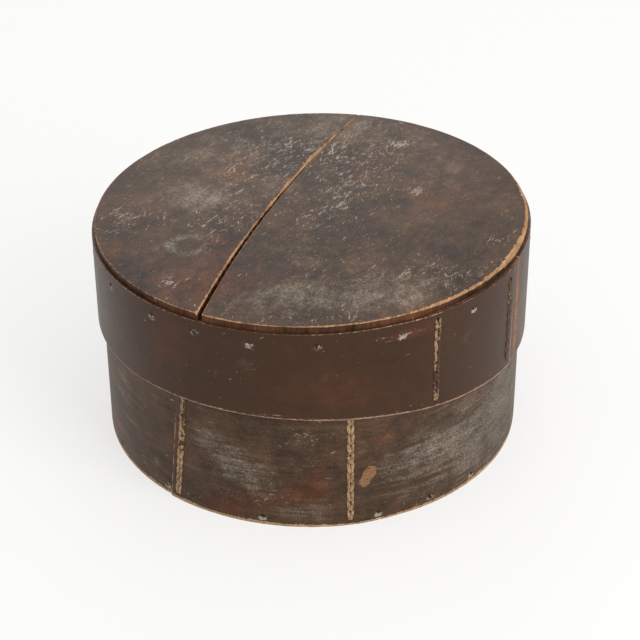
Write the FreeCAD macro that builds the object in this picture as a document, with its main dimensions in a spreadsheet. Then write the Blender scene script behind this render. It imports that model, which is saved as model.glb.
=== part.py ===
# A round bentwood box with a lift-off lid, laced with split root. Millimetres, +Z up,
# the origin on the floor at the centre of the base, the laced seams towards -Y.
import FreeCAD, Part
import math
import os

import Sketcher
from FreeCAD import Placement, Rotation, Vector

doc = FreeCAD.newDocument("bentwood_box")

# Driving sizes: each cell is one size that a maker would set
SIZES = {
    "lid_radius": 150.0,
    "lid_strip": 2.0,
    "lid_band_depth": 73.1,
    "lid_edge_slope": 1.844,
    "lid_edge_bow": 7.6,
    "lid_running_gap": 0.3,
    "lid_board_thickness": 18.7,
    "lid_board_proud": 4.8,
    "lid_top_slope": 1.054,
    "lid_joint_back": 75.3,
    "lid_joint_front": -117.4,
    "lid_joint_bow": 7.4,
    "lid_joint_back_gap": 0.7,
    "lid_joint_front_gap": 3.5,
    "base_strip": 3.0,
    "base_height": 140.5,
    "bottom_thickness": 13.0,
    "bottom_joint_back": 80.0,
    "bottom_joint_front": -112.0,
    "bottom_joint_gap": 0.6,
    "arris_wear": 1.0,
    "scarf_end": 1.0,
    "scarf_ramp": 10.0,
    "layer_gap": 0.1,
    "fit_gap": 0.05,
    "stitch_pitch": 7.7,
    "stitch_edge": 4.6,
    "slit_width": 1.8,
    "slit_height": 3.0,
    "lace_rise": 0.8,
    "lace_width": 2.2,
    "lace_spread": 1.5,
    "lace_pinch": 0.55,
    "end_margin": 6.4,
    "base_inner_seam": -80.5,
    "base_outer_seam": -125.6,
    "base_outer_slant": 6.3,
    "lid_inner_seam": -58.2,
    "lid_outer_seam": -30.5,
    "peg_radius": 1.6,
    "peg_depth": 8.0,
    "peg_head": 0.5,
    "lid_peg_drop": 8.4,
    "base_peg_height": 6.5,
    "dowel_radius": 3.0,
    "dowel_length": 36.0,
    "dowel_pitch": 70.0,
}
LID_PEG_ANGLES = (
    -151.6, -133.2, -120.0, -105.3, -88.8, -67.9, -46.7, -8, 17, 42, 66, 93, 118, 143, 168, -170,
)
BASE_PEG_ANGLES = (-156, -132.8, -103.4, -72.9, -57.4, -42.3, -12, 15, 42, 68, 97, 125, 152, 178)
DOWEL_PLACES = (-1, 1)
PEG_SIDES = 6
DOWEL_SIDES = 8
FULL_TURN = 360

sheet = doc.addObject("Spreadsheet::Sheet", "sizes")
for row, (alias, number) in enumerate(SIZES.items(), start=1):
    sheet.set(f"A{row}", alias)
    sheet.set(f"B{row}", str(number))
    sheet.setAlias(f"B{row}", alias)
doc.recompute()


def size(alias):
    return float(sheet.get(alias))


LID_OUTER = "sizes.lid_radius"
LID_INNER = "sizes.lid_radius - sizes.lid_strip"
SEAM_STEP = "sizes.scarf_end + sizes.layer_gap"
BASE_OUTER = f"{LID_INNER} - sizes.lid_running_gap - sizes.lace_rise - ({SEAM_STEP})"
BASE_INNER = f"{BASE_OUTER} - sizes.base_strip"

lid_outer = size("lid_radius")
lid_inner = lid_outer - size("lid_strip")
seam_step = size("scarf_end") + size("layer_gap")
base_outer = lid_inner - size("lid_running_gap") - size("lace_rise") - seam_step
base_inner = base_outer - size("base_strip")
lid_board_radius = lid_inner - size("fit_gap")
bottom_radius = base_inner - size("fit_gap")
rim_height = size("base_height")
lid_top = rim_height + size("lid_board_thickness")
band_top = lid_top - size("lid_board_proud")
band_edge = band_top - size("lid_band_depth")
top_rise = math.tan(math.radians(size("lid_top_slope")))
edge_fall = math.tan(math.radians(size("lid_edge_slope")))
REACH = 3 * lid_outer
UPRIGHT = Placement(Vector(), Rotation(Vector(1, 0, 0), 90))


def polar(radius, angle, height=0.0):
    return Vector(radius * math.cos(math.radians(angle)), radius * math.sin(math.radians(angle)), height)


def degrees_round(length, radius):
    return math.degrees(length / radius)


def band_top_at(angle):
    return band_top + top_rise * polar(lid_outer, angle).x


def band_edge_at(angle):
    place = polar(lid_outer, angle)
    return band_edge - edge_fall * place.x + size("lid_edge_bow") * (place.y / lid_outer) ** 2


def sketch_on(body, name, role, offset=Placement()):
    sketch = body.newObject("Sketcher::SketchObject", name)
    plane = next(feature for feature in body.Origin.OriginFeatures if feature.Role == role)
    sketch.AttachmentSupport = [(plane, "")]
    sketch.MapMode = "FlatFace"
    sketch.AttachmentOffset = offset
    return sketch


def ring_arc(radius, start, end):
    circle = Part.Circle(Vector(), Vector(0, 0, 1), radius)
    return Part.ArcOfCircle(circle, math.radians(min(start, end)), math.radians(max(start, end)))


def easing_arc(start_radius, start, end_radius, end):
    middle = polar((start_radius + end_radius) / 2, (start + end) / 2)
    return Part.Arc(polar(start_radius, start), middle, polar(end_radius, end))


def add_outline(sketch, curves):
    """Adds the curves and joins their ends in turn, each to the nearest free end of the next."""
    sketch.addGeometry(curves, False)
    joined = set()
    for here in range(len(curves)):
        there = (here + 1) % len(curves)
        free = [(a, b) for a in (1, 2) for b in (1, 2) if not {(here, a), (there, b)} & joined]
        gaps = {(a, b): sketch.getPoint(here, a).distanceToPoint(sketch.getPoint(there, b)) for a, b in free}
        first, second = min(free, key=gaps.get)
        joined |= {(here, first), (there, second)}
        sketch.addConstraint(Sketcher.Constraint("Coincident", here, first, there, second))


def bind_radius(sketch, curve, name, expression):
    radius = sketch.Geometry[curve].Radius
    sketch.addConstraint(Sketcher.Constraint("Coincident", curve, 3, -1, 1))
    index = sketch.addConstraint(Sketcher.Constraint("Radius", curve, radius))
    sketch.renameConstraint(index, name)
    sketch.setExpression(f"Constraints.{name}", expression)


def add_rectangle(sketch, low, high):
    corners = [Vector(x, y) for x, y in ((low.x, low.y), (high.x, low.y), (high.x, high.y), (low.x, high.y))]
    add_outline(sketch, [Part.LineSegment(corners[i], corners[(i + 1) % 4]) for i in range(4)])


def cut_from(label, base, tools):
    holes = doc.addObject("Part::Compound", f"{label}_cutters")
    holes.Links = tools
    cut = doc.addObject("Part::Cut", label)
    cut.Base = base
    cut.Tool = holes
    cut.Label = label
    return cut


# The bent strips. Each strip runs once round and past itself. Both ends are shaved down to
# scarf_end, so that the overlap is an even step thicker than the rest, all on the outside.
class Seam:
    """One laced seam: its frame has x round the box, y up and z outwards, with z = 0 on the outer face."""

    def __init__(self, angle, slant, strip, outer_face, low, high):
        self.angle = angle
        self.depth = strip + seam_step
        self.slant = slant
        self.middle = (low + high) / 2
        self.reach = outer_face
        self.stitches = int((high - low - 2 * size("stitch_edge")) / size("stitch_pitch"))
        self.run = self.stitches * size("stitch_pitch")

    def offset(self, climb=0.0):
        """An upright frame that faces straight out of the band, at the seam's middle or further up it."""
        lean = math.radians(self.slant)
        turn = self.angle + 90 + degrees_round(climb * math.sin(lean), self.reach)
        outwards = Vector(math.sin(math.radians(turn)), 0, math.cos(math.radians(turn)))
        place = outwards * self.reach + Vector(0, self.middle + climb * math.cos(lean), 0)
        return Placement(place, Rotation(Vector(0, 1, 0), turn))

    def frame(self, climb=0.0):
        return UPRIGHT.multiply(self.offset(climb))

    def leaning_frame(self, climb=0.0):
        return self.frame(climb).multiply(Placement(Vector(), Rotation(Vector(0, 0, 1), -self.slant)))

    def along(self, climb):
        lean = math.radians(self.slant)
        return Vector(climb * math.sin(lean), climb * math.cos(lean), 0)

    def slit_heights(self):
        return [step * size("stitch_pitch") - self.run / 2 for step in range(self.stitches + 1)]


lid_overlap_face = lid_outer + seam_step
base_overlap_face = base_outer + seam_step
base_outer_seam = Seam(
    size("base_outer_seam"), size("base_outer_slant"), size("base_strip"), base_overlap_face, 0.0, rim_height
)
base_inner_seam = Seam(size("base_inner_seam"), 0.0, size("base_strip"), base_overlap_face, 0.0, rim_height)
lid_outer_seam = Seam(
    size("lid_outer_seam"), 0.0, size("lid_strip"), lid_overlap_face,
    band_edge_at(size("lid_outer_seam")), band_top_at(size("lid_outer_seam")),
)
lid_inner_seam = Seam(
    size("lid_inner_seam"), 0.0, size("lid_strip"), lid_overlap_face,
    band_edge_at(size("lid_inner_seam")), band_top_at(size("lid_inner_seam")),
)


def strip_body(name, outer, strip, outer_expression, inner_expression, seams, low, height_expression):
    """Pads the outline of a bent strip: its outer end is past seams[0] and its inner end past seams[1]."""
    outer_seam, inner_seam = seams
    inner = outer - strip
    hand = 1 if inner_seam.angle > outer_seam.angle else -1
    margin = hand * degrees_round(size("end_margin"), outer)
    lean = math.tan(math.radians(outer_seam.slant)) * outer_seam.middle
    lean_turn = hand * degrees_round(lean, outer)
    end = outer_seam.angle - margin - lean_turn
    flat_to = outer_seam.angle - margin + lean_turn + hand * degrees_round(size("stitch_edge"), outer)
    tail = inner_seam.angle + margin
    settled = tail + hand * size("scarf_ramp")
    once_round = hand * FULL_TURN
    gap = size("layer_gap")
    thin = size("scarf_end")

    body = doc.addObject("PartDesign::Body", f"{name}_body")
    outline = sketch_on(body, f"{name}_outline", "XY_Plane", Placement(Vector(0, 0, low), Rotation()))
    curves = [
        ring_arc(outer + seam_step, end, tail),
        easing_arc(outer + seam_step, tail, outer, settled),
        ring_arc(outer, settled, flat_to + once_round),
        easing_arc(outer, flat_to, inner + thin, tail),
        Part.LineSegment(polar(inner + thin, tail), polar(inner, tail)),
        ring_arc(inner, tail, settled - once_round),
        easing_arc(inner, settled, inner + thin + gap, tail),
        easing_arc(inner + thin + gap, tail, outer + gap, flat_to),
        ring_arc(outer + gap, end, flat_to),
        Part.LineSegment(polar(outer + gap, end), polar(outer + seam_step, end)),
    ]
    add_outline(outline, curves)
    bind_radius(outline, 0, "overlap_face", f"{outer_expression} + {SEAM_STEP}")
    bind_radius(outline, 2, "outer_face", outer_expression)
    bind_radius(outline, 5, "inner_face", inner_expression)
    bind_radius(outline, 8, "tongue_back", f"{outer_expression} + sizes.layer_gap")
    pad = body.newObject("PartDesign::Pad", f"{name}_strip")
    pad.Profile = outline
    pad.setExpression("Length", height_expression)
    for number, seam in enumerate(seams, start=1):
        outside = seam.offset().multiply(Placement(Vector(0, 0, seam.depth), Rotation()))
        slits = sketch_on(body, f"{name}_slit_{number}", "XZ_Plane", outside)
        corner = Vector(size("slit_width") / 2, size("slit_height") / 2, 0)
        first = seam.along(-seam.run / 2)
        add_rectangle(slits, first - corner, first + corner)
        slits.addGeometry(Part.LineSegment(first, seam.along(seam.run / 2)), True)
        pocket = body.newObject("PartDesign::Pocket", f"{name}_slit_cut_{number}")
        pocket.Profile = slits
        pocket.setExpression("Length", f"3 * ({outer_expression} - ({inner_expression}) + {SEAM_STEP})")
        row_of_slits = body.newObject("PartDesign::LinearPattern", f"{name}_slit_row_{number}")
        row_of_slits.Originals = [pocket]
        row_of_slits.Direction = (slits, ["Axis0"])
        row_of_slits.setExpression("Length", f"{seam.stitches} * sizes.stitch_pitch")
        row_of_slits.Occurrences = seam.stitches + 1
        body.Tip = row_of_slits
    return body


def slice_away(body, name, role, curves, turn):
    """Cuts the outline right through the body, to both sides of one of its own planes."""
    profile = sketch_on(body, f"{name}_line", role, Placement(Vector(), turn))
    add_outline(profile, curves)
    pocket = body.newObject("PartDesign::Pocket", name)
    pocket.Profile = profile
    pocket.Type = "ThroughAll"
    pocket.SideType = "Symmetric"
    return pocket


def lines_through(points):
    return [Part.LineSegment(points[i], points[(i + 1) % len(points)]) for i in range(len(points))]


def slice_sloping_top(body, name, height):
    left = Vector(-lid_outer * 2, height - top_rise * lid_outer * 2)
    right = Vector(lid_outer * 2, height + top_rise * lid_outer * 2)
    above = [Vector(right.x, height + REACH), Vector(left.x, height + REACH)]
    return slice_away(body, name, "XZ_Plane", lines_through([left, right] + above), Rotation())


def pegs_and_holes(label, angles, rim, face, height_at):
    """Six-sided whittled pegs driven in level through a band, with the holes that they fill."""
    pegs = []
    holes = []
    for number, angle in enumerate(angles, start=1):
        inwards = Rotation(Vector(0, 0, 1), -polar(1, angle))
        head = face(angle) + size("peg_head")
        peg = doc.addObject("Part::Prism", f"{label}_{number}")
        peg.Polygon = PEG_SIDES
        peg.setExpression("Circumradius", "sizes.peg_radius")
        peg.Height = head - rim + size("peg_depth")
        peg.Placement = Placement(polar(head, angle, height_at(angle)), inwards)
        hole = doc.addObject("Part::Prism", f"{label}_hole_{number}")
        hole.Polygon = PEG_SIDES
        hole.setExpression("Circumradius", "sizes.peg_radius + sizes.fit_gap")
        hole.Height = head - rim + size("peg_depth") + size("fit_gap") + size("peg_head")
        hole.Placement = Placement(polar(head + size("peg_head"), angle, height_at(angle)), inwards)
        pegs.append(peg)
        holes.append(hole)
    group = doc.addObject("Part::Compound", label)
    group.Links = pegs
    group.Label = label
    return holes


def dowels_and_holes(label, middle, along, height):
    """Whittled dowels across the joint of two boards, with one blind hole through both for each."""
    across = Vector(-along.y, along.x, 0)
    dowels = []
    holes = []
    for number, place in enumerate(DOWEL_PLACES, start=1):
        centre = middle + along * (place * size("dowel_pitch")) + Vector(0, 0, height)
        turn = Rotation(Vector(0, 0, 1), across)
        dowel = doc.addObject("Part::Prism", f"{label}_{number}")
        dowel.Polygon = DOWEL_SIDES
        dowel.setExpression("Circumradius", "sizes.dowel_radius")
        dowel.setExpression("Height", "sizes.dowel_length")
        dowel.Placement = Placement(centre - across * (size("dowel_length") / 2), turn)
        hole = doc.addObject("Part::Prism", f"{label}_hole_{number}")
        hole.Polygon = DOWEL_SIDES
        hole.setExpression("Circumradius", "sizes.dowel_radius + sizes.fit_gap")
        hole.setExpression("Height", "sizes.dowel_length + 2 * sizes.fit_gap")
        hole.Placement = Placement(centre - across * (size("dowel_length") / 2 + size("fit_gap")), turn)
        dowels.append(dowel)
        holes.append(hole)
    group = doc.addObject("Part::Compound", label)
    group.Links = dowels
    group.Label = label
    return holes


def board_body(name, radius, start, end, joint_curve, low, height_expression, radius_expression):
    """Pads the outline of one board: part of a round rim, closed by the joint with its neighbour."""
    body = doc.addObject("PartDesign::Body", f"{name}_body")
    outline = sketch_on(body, f"{name}_outline", "XY_Plane", Placement(Vector(0, 0, low), Rotation()))
    add_outline(outline, [ring_arc(radius, start, end), joint_curve])
    bind_radius(outline, 0, "rim", radius_expression)
    pad = body.newObject("PartDesign::Pad", f"{name}_board")
    pad.Profile = outline
    pad.setExpression("Length", height_expression)
    body.Tip = pad
    return body


def lace_reliefs(label, seams, low, high):
    """Shallow notches in a board's edge, which clear the root on the inside of the band."""
    reliefs = []
    for number, seam in enumerate(seams, start=1):
        relief = doc.addObject("Part::Box", f"{label}_relief_{number}")
        relief.setExpression("Length", "2 * (sizes.lace_width + sizes.lace_spread)")
        relief.Width = high(seam) - low
        relief.setExpression("Height", "2 * (sizes.lace_rise + sizes.lid_running_gap)")
        corner = Vector(
            -size("lace_width") - size("lace_spread"),
            -relief.Width.Value / 2,
            -seam.depth - size("lace_rise") - size("lid_running_gap"),
        )
        climb = (low + high(seam)) / 2 - seam.middle
        relief.Placement = seam.frame(climb).multiply(Placement(corner, Rotation()))
        reliefs.append(relief)
    return reliefs


# The lacing of split root. Outside, each stitch is a V of two strands that pinch in at the
# lower slit. Inside, one strand runs from slit to slit. A plug fills each slit.
STRAND_SHOULDER = 0.42
STRAND_TIP = 0.24
STRAND_OVERRUN = 0.05
TANGENT_GAP = 0.04


def strand(top, bottom, half_width):
    """One strand between two slits: a kite on the band that swells up to a ridge along its middle."""
    along = bottom - top
    side = Vector(-along.y, along.x, 0).normalize() * half_width
    shoulder = top + along * STRAND_SHOULDER
    floor = [point + Vector(0, 0, TANGENT_GAP) for point in (top, shoulder + side, bottom, shoulder - side)]
    crest = Vector(0, 0, size("lace_rise"))
    high = top + along * STRAND_TIP + crest
    low = bottom - along * STRAND_TIP + crest
    outlines = [floor]
    for flank in (floor[1], floor[3]):
        outlines += [[floor[0], flank, high], [flank, low, high], [flank, floor[2], low]]
    faces = [Part.Face(Part.makePolygon(outline + outline[:1])) for outline in outlines]
    solid = Part.makeSolid(Part.makeShell(faces))
    if solid.Volume < 0:
        solid.reverse()
    return solid


def lace(label, seam):
    half_width = size("lace_width") / 2
    plug_width = size("slit_width") - 2 * size("fit_gap")
    plug_height = size("slit_height") - 2 * size("fit_gap")
    plug_out = size("lace_rise") / 2
    half_pitch = size("stitch_pitch") / 2
    reach = half_pitch + STRAND_OVERRUN * size("stitch_pitch")
    pieces = []
    for height in seam.slit_heights():
        corner = seam.along(height) - Vector(plug_width / 2, plug_height / 2, seam.depth + plug_out)
        pieces.append(Part.makeBox(plug_width, plug_height, seam.depth + 2 * plug_out, corner))
    for height in seam.slit_heights()[1:]:
        local = seam.frame().inverse().multiply(seam.leaning_frame(height - half_pitch))
        stitch = []
        for side in (-1, 1):
            top = Vector(side * size("lace_spread"), reach, 0)
            bottom = Vector(side * size("lace_pinch"), -reach, 0)
            stitch.append(strand(top, bottom, half_width))
        corner = Vector(-half_width, -half_pitch, -seam.depth - size("lace_rise"))
        stitch.append(Part.makeBox(2 * half_width, 2 * half_pitch, size("lace_rise") - TANGENT_GAP, corner))
        for piece in stitch:
            piece.Placement = local
            pieces.append(piece)
    feature = doc.addObject("Part::Feature", label)
    feature.Shape = pieces[0].multiFuse(pieces[1:]).removeSplitter()
    feature.Placement = seam.frame()
    feature.Label = label


# The base band, its outer end trimmed to the lean of its seam
base_seams = (base_outer_seam, base_inner_seam)
base_body = strip_body(
    "base_band", base_outer, size("base_strip"), BASE_OUTER, BASE_INNER, base_seams, 0.0, "sizes.base_height"
)
trim_outside = doc.addObject("Part::Cylinder", "trim_outside")
trim_outside.setExpression("Radius", f"{BASE_OUTER} + 2 * ({SEAM_STEP})")
trim_outside.setExpression("Height", "sizes.base_height")
trim_inside = doc.addObject("Part::Cylinder", "trim_inside")
trim_inside.setExpression("Radius", f"{BASE_OUTER} + sizes.layer_gap / 2")
trim_inside.setExpression("Height", "sizes.base_height")
trim_ring = doc.addObject("Part::Cut", "trim_ring")
trim_ring.Base = trim_outside
trim_ring.Tool = trim_inside
trim_side = doc.addObject("Part::Box", "trim_side")
trim_side.setExpression("Length", "sizes.lid_radius / 4")
trim_side.setExpression("Width", "2 * sizes.base_height")
trim_side.setExpression("Height", "sizes.lid_radius / 4")
trim_corner = Vector(-size("end_margin") - lid_outer / 4, -rim_height, -lid_outer / 8)
trim_side.Placement = base_outer_seam.leaning_frame().multiply(Placement(trim_corner, Rotation()))
trim = doc.addObject("Part::MultiCommon", "base_end_trim")
trim.Shapes = [trim_ring, trim_side]


def face_of(outer, seams):
    """The radius of a band's outer face at an angle, with the step of its overlap."""
    low = min(seam.angle for seam in seams) - size("scarf_ramp") * 2
    high = max(seam.angle for seam in seams) + size("scarf_ramp") * 2
    return lambda angle: outer + seam_step if low < angle < high else outer


base_peg_holes = pegs_and_holes(
    "base_bottom_pegs", BASE_PEG_ANGLES, base_inner, face_of(base_outer, base_seams),
    lambda angle: size("base_peg_height"),
)
cut_from("base_band", base_body, [trim] + base_peg_holes)

# The bottom of two boards, dowelled edge to edge and pegged through the band
half_gap = degrees_round(size("bottom_joint_gap") / 2, bottom_radius)
front_turn = size("bottom_joint_front")
back_turn = size("bottom_joint_back")
bottom_back = polar(bottom_radius, back_turn)
bottom_front = polar(bottom_radius, front_turn)
bottom_along = (bottom_back - bottom_front).normalize()
BOTTOM_RADIUS = f"{BASE_INNER} - sizes.fit_gap"
bottom_dowel_holes = dowels_and_holes(
    "base_bottom_dowels", (bottom_back + bottom_front) / 2, bottom_along, size("bottom_thickness") / 2
)
bottom_reliefs = lace_reliefs("base_bottom", base_seams, 0.0, lambda seam: size("bottom_thickness"))
for name, start, end in (
    ("base_bottom_wide_board", front_turn + half_gap, back_turn - half_gap),
    ("base_bottom_narrow_board", back_turn + half_gap, front_turn + FULL_TURN - half_gap),
):
    joint = Part.LineSegment(polar(bottom_radius, end), polar(bottom_radius, start))
    board = board_body(
        name, bottom_radius, start, end, joint, 0.0, "sizes.bottom_thickness", BOTTOM_RADIUS
    )
    cut_from(name, board, bottom_dowel_holes + base_peg_holes + bottom_reliefs)

# The lid band, with its worn and uneven lower edge
lid_seams = (lid_outer_seam, lid_inner_seam)
lowest_edge = band_edge - edge_fall * lid_outer
lid_body = strip_body(
    "lid_band", lid_outer, size("lid_strip"), LID_OUTER, LID_INNER, lid_seams, lowest_edge,
    "sizes.lid_band_depth + sizes.lid_radius / 4",
)
slice_sloping_top(lid_body, "lid_band_top_edge", band_top)
side_height = band_edge + size("lid_edge_bow")
front = Vector(-lid_outer, side_height)
back = Vector(lid_outer, side_height)
below = [Vector(lid_outer, side_height - lid_outer), Vector(-lid_outer, side_height - lid_outer)]
edge_curves = [Part.Arc(front, Vector(0, band_edge), back)]
margin_out = Vector(lid_outer / 8, 0)
edge_curves += [
    Part.LineSegment(back, back + margin_out),
    Part.LineSegment(back + margin_out, below[0] + margin_out),
    Part.LineSegment(below[0] + margin_out, below[1] - margin_out),
    Part.LineSegment(below[1] - margin_out, front - margin_out),
    Part.LineSegment(front - margin_out, front),
]
edge_lean = Rotation(Vector(1, 0, 0), size("lid_edge_slope"))
slice_away(lid_body, "lid_band_lower_edge", "YZ_Plane", edge_curves, edge_lean)
lid_peg_holes = pegs_and_holes(
    "lid_pegs", LID_PEG_ANGLES, lid_inner, face_of(lid_outer, lid_seams),
    lambda angle: band_top_at(angle) - size("lid_peg_drop"),
)
cut_from("lid_band", lid_body, lid_peg_holes)

# The lid's two boards, which meet along a bowed joint that has opened towards the front
joint_back = polar(lid_board_radius, size("lid_joint_back"))
joint_front = polar(lid_board_radius, size("lid_joint_front"))
joint_along = (joint_back - joint_front).normalize()
joint_across = Vector(-joint_along.y, joint_along.x, 0)
joint_middle = (joint_back + joint_front) / 2 + joint_across * size("lid_joint_bow")
LID_BOARD_RADIUS = f"{LID_INNER} - sizes.fit_gap"
lid_dowel_holes = dowels_and_holes(
    "lid_board_dowels", joint_middle, joint_along, rim_height + size("lid_board_thickness") / 2
)
lid_reliefs = lace_reliefs(
    "lid_board", lid_seams, rim_height, lambda seam: seam.middle + seam.run / 2 + size("stitch_edge")
)
mean_gap = (size("lid_joint_back_gap") + size("lid_joint_front_gap")) / 4
for name, side in (("lid_wide_board", -1), ("lid_narrow_board", 1)):
    back_opening = degrees_round(size("lid_joint_back_gap") / 2, lid_board_radius)
    front_opening = degrees_round(size("lid_joint_front_gap") / 2, lid_board_radius)
    back_angle = size("lid_joint_back") + side * back_opening
    front_angle = size("lid_joint_front") - side * front_opening
    if side < 0:
        start, end = front_angle, back_angle
    else:
        start, end = back_angle, front_angle + FULL_TURN
    shoulder = joint_middle + joint_across * (side * mean_gap)
    joint = Part.Arc(polar(lid_board_radius, end), shoulder, polar(lid_board_radius, start))
    board = board_body(
        name, lid_board_radius, start, end, joint, rim_height,
        "sizes.lid_board_thickness + sizes.lid_radius / 16", LID_BOARD_RADIUS,
    )
    top = slice_sloping_top(board, f"{name}_top", lid_top)
    doc.recompute()
    arris = [
        f"Edge{number}"
        for number, edge in enumerate(top.Shape.Edges, start=1)
        if all(abs(spot.z - lid_top - top_rise * spot.x) < size("fit_gap") for spot in edge.discretize(5))
    ]
    worn = board.newObject("PartDesign::Chamfer", f"{name}_arris")
    worn.Base = (top, arris)
    worn.setExpression("Size", "sizes.arris_wear")
    board.Tip = worn
    cut_from(name, board, lid_dowel_holes + lid_peg_holes + lid_reliefs)

# The lacing of both bands
lace("base_outer_seam_root", base_outer_seam)
lace("base_inner_seam_root", base_inner_seam)
lace("lid_outer_seam_root", lid_outer_seam)
lace("lid_inner_seam_root", lid_inner_seam)

NODES = (
    "base_band", "base_bottom_wide_board", "base_bottom_narrow_board", "base_bottom_dowels",
    "base_bottom_pegs", "base_outer_seam_root", "base_inner_seam_root", "lid_band", "lid_wide_board",
    "lid_narrow_board", "lid_board_dowels", "lid_pegs", "lid_outer_seam_root", "lid_inner_seam_root",
)
doc.recompute()
for item in doc.Objects:
    if "Invalid" in item.State or "Error" in item.State:
        raise RuntimeError(f"{item.Name} failed: {item.State}")
os.makedirs("parts", exist_ok=True)
for node in NODES:
    shape = doc.getObjectsByLabel(node)[0].Shape
    if shape.isNull() or not shape.isValid():
        raise RuntimeError(f"{node} has no valid shape")
    print(node, len(shape.Solids), "solids", round(shape.Volume, 1), "mm3")
    shape.exportStep(f"parts/{node}.step")
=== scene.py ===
import math
import random

import bpy
import numpy
from mathutils import Matrix, Vector, kdtree, noise


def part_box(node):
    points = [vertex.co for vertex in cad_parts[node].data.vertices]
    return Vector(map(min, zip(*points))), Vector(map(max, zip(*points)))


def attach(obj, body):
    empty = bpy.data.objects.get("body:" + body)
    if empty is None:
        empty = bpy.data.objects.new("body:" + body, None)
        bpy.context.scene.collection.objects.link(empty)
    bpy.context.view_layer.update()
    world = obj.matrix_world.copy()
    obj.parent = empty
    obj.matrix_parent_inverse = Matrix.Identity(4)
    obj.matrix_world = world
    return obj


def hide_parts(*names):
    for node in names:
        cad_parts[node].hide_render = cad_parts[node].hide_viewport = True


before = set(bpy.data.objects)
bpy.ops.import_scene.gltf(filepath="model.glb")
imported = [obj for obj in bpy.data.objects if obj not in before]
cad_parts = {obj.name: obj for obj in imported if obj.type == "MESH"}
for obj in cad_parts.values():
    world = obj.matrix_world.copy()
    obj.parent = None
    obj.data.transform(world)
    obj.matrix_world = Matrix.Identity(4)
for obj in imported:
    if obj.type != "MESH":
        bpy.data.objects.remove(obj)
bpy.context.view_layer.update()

# The view and the stage: a long lens looks down on the box from the front. It stands on a white
# sheet in soft daylight from all round, with broad lamps to the right and above, and a weak one
# behind that lays a sheen on the far side of the lid.
VIEW_PLACE = Vector((0.0, -1.1553, 0.8072))
VIEW_YAW, VIEW_PITCH, VIEW_ROLL = 0.0049, 0.5682, -0.0059
VIEW_LENS = 108.66
ahead = Vector((
    math.sin(VIEW_YAW) * math.cos(VIEW_PITCH),
    math.cos(VIEW_YAW) * math.cos(VIEW_PITCH),
    -math.sin(VIEW_PITCH),
))
level = Vector((math.cos(VIEW_YAW), -math.sin(VIEW_YAW), 0.0))
upright = level.cross(ahead)
right = math.cos(VIEW_ROLL) * level + math.sin(VIEW_ROLL) * upright
top = -math.sin(VIEW_ROLL) * level + math.cos(VIEW_ROLL) * upright
view = bpy.data.objects.new("view", bpy.data.cameras.new("view"))
view.data.lens = VIEW_LENS
view.data.clip_start = 0.05
view.matrix_world = Matrix((
    (right.x, top.x, -ahead.x, VIEW_PLACE.x),
    (right.y, top.y, -ahead.y, VIEW_PLACE.y),
    (right.z, top.z, -ahead.z, VIEW_PLACE.z),
    (0, 0, 0, 1),
))
bpy.context.scene.collection.objects.link(view)
bpy.context.scene.camera = view
bpy.context.scene.view_settings.view_transform = "Standard"


def add_node(tree, kind, settings=None, **sockets):
    """Adds a shader node; each socket, by name or by number as in _1, gets a value or a link."""
    made = tree.nodes.new("ShaderNode" + kind)
    for name, value in (settings or {}).items():
        setattr(made, name, value)
    for name, value in sockets.items():
        socket = made.inputs[int(name[1:])] if name[0] == "_" else made.inputs[name.replace("_", " ")]
        if isinstance(value, bpy.types.NodeSocket):
            tree.links.new(value, socket)
        else:
            socket.default_value = value
    return made


def sums(tree, operation, first, second=0.0, third=0.0):
    return add_node(tree, "Math", {"operation": operation}, _0=first, _1=second, _2=third).outputs[0]


def blend(tree, share, first, second):
    return add_node(tree, "Mix", {"data_type": "RGBA"}, _0=share, _6=first, _7=second).outputs[2]


def looked_at(tree):
    """1 for the rays that show the white room: those of the camera, of gloss and of glass."""
    rays = add_node(tree, "LightPath").outputs
    thrown = sums(tree, "MAXIMUM", rays["Is Glossy Ray"], rays["Is Transmission Ray"])
    return sums(tree, "MAXIMUM", rays["Is Camera Ray"], thrown)


WORLD_LIGHT = 0.6
SHEET_GLOW = 0.62
SHEET_SIZE = 8.0
SHEET_AS_LAMP = (0.62, 0.6, 0.58, 1)
SHEET_AS_SEEN = (1, 0.99, 0.975, 1)
world = bpy.data.worlds.new("daylight")
bpy.context.scene.world = world
world.use_nodes = True
tree = world.node_tree
tree.nodes.clear()
strength = add_node(tree, "Mix", _0=looked_at(tree), _2=WORLD_LIGHT, _3=1.0).outputs[0]
sky = add_node(tree, "Background", Color=(1, 1, 1, 1), Strength=strength).outputs[0]
tree.links.new(sky, add_node(tree, "OutputWorld").inputs[0])

bpy.ops.object.select_all(action="DESELECT")
bpy.ops.mesh.primitive_plane_add(size=SHEET_SIZE)
floor = bpy.context.object
floor.name = "paper_sheet"
paper = bpy.data.materials.new("paper")
paper.use_nodes = True
tree = paper.node_tree
tree.nodes.clear()
seen = looked_at(tree)
sheet_colour = blend(tree, seen, SHEET_AS_LAMP, SHEET_AS_SEEN)
matt = add_node(tree, "BsdfDiffuse", Color=sheet_colour).outputs[0]
bright = add_node(tree, "Emission", Color=(1, 1, 0.995, 1)).outputs[0]
glow = sums(tree, "MULTIPLY", seen, SHEET_GLOW)
lit = add_node(tree, "MixShader", _0=glow, _1=matt, _2=bright).outputs[0]
tree.links.new(lit, add_node(tree, "OutputMaterial").inputs[0])
floor.data.materials.append(paper)

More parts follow.
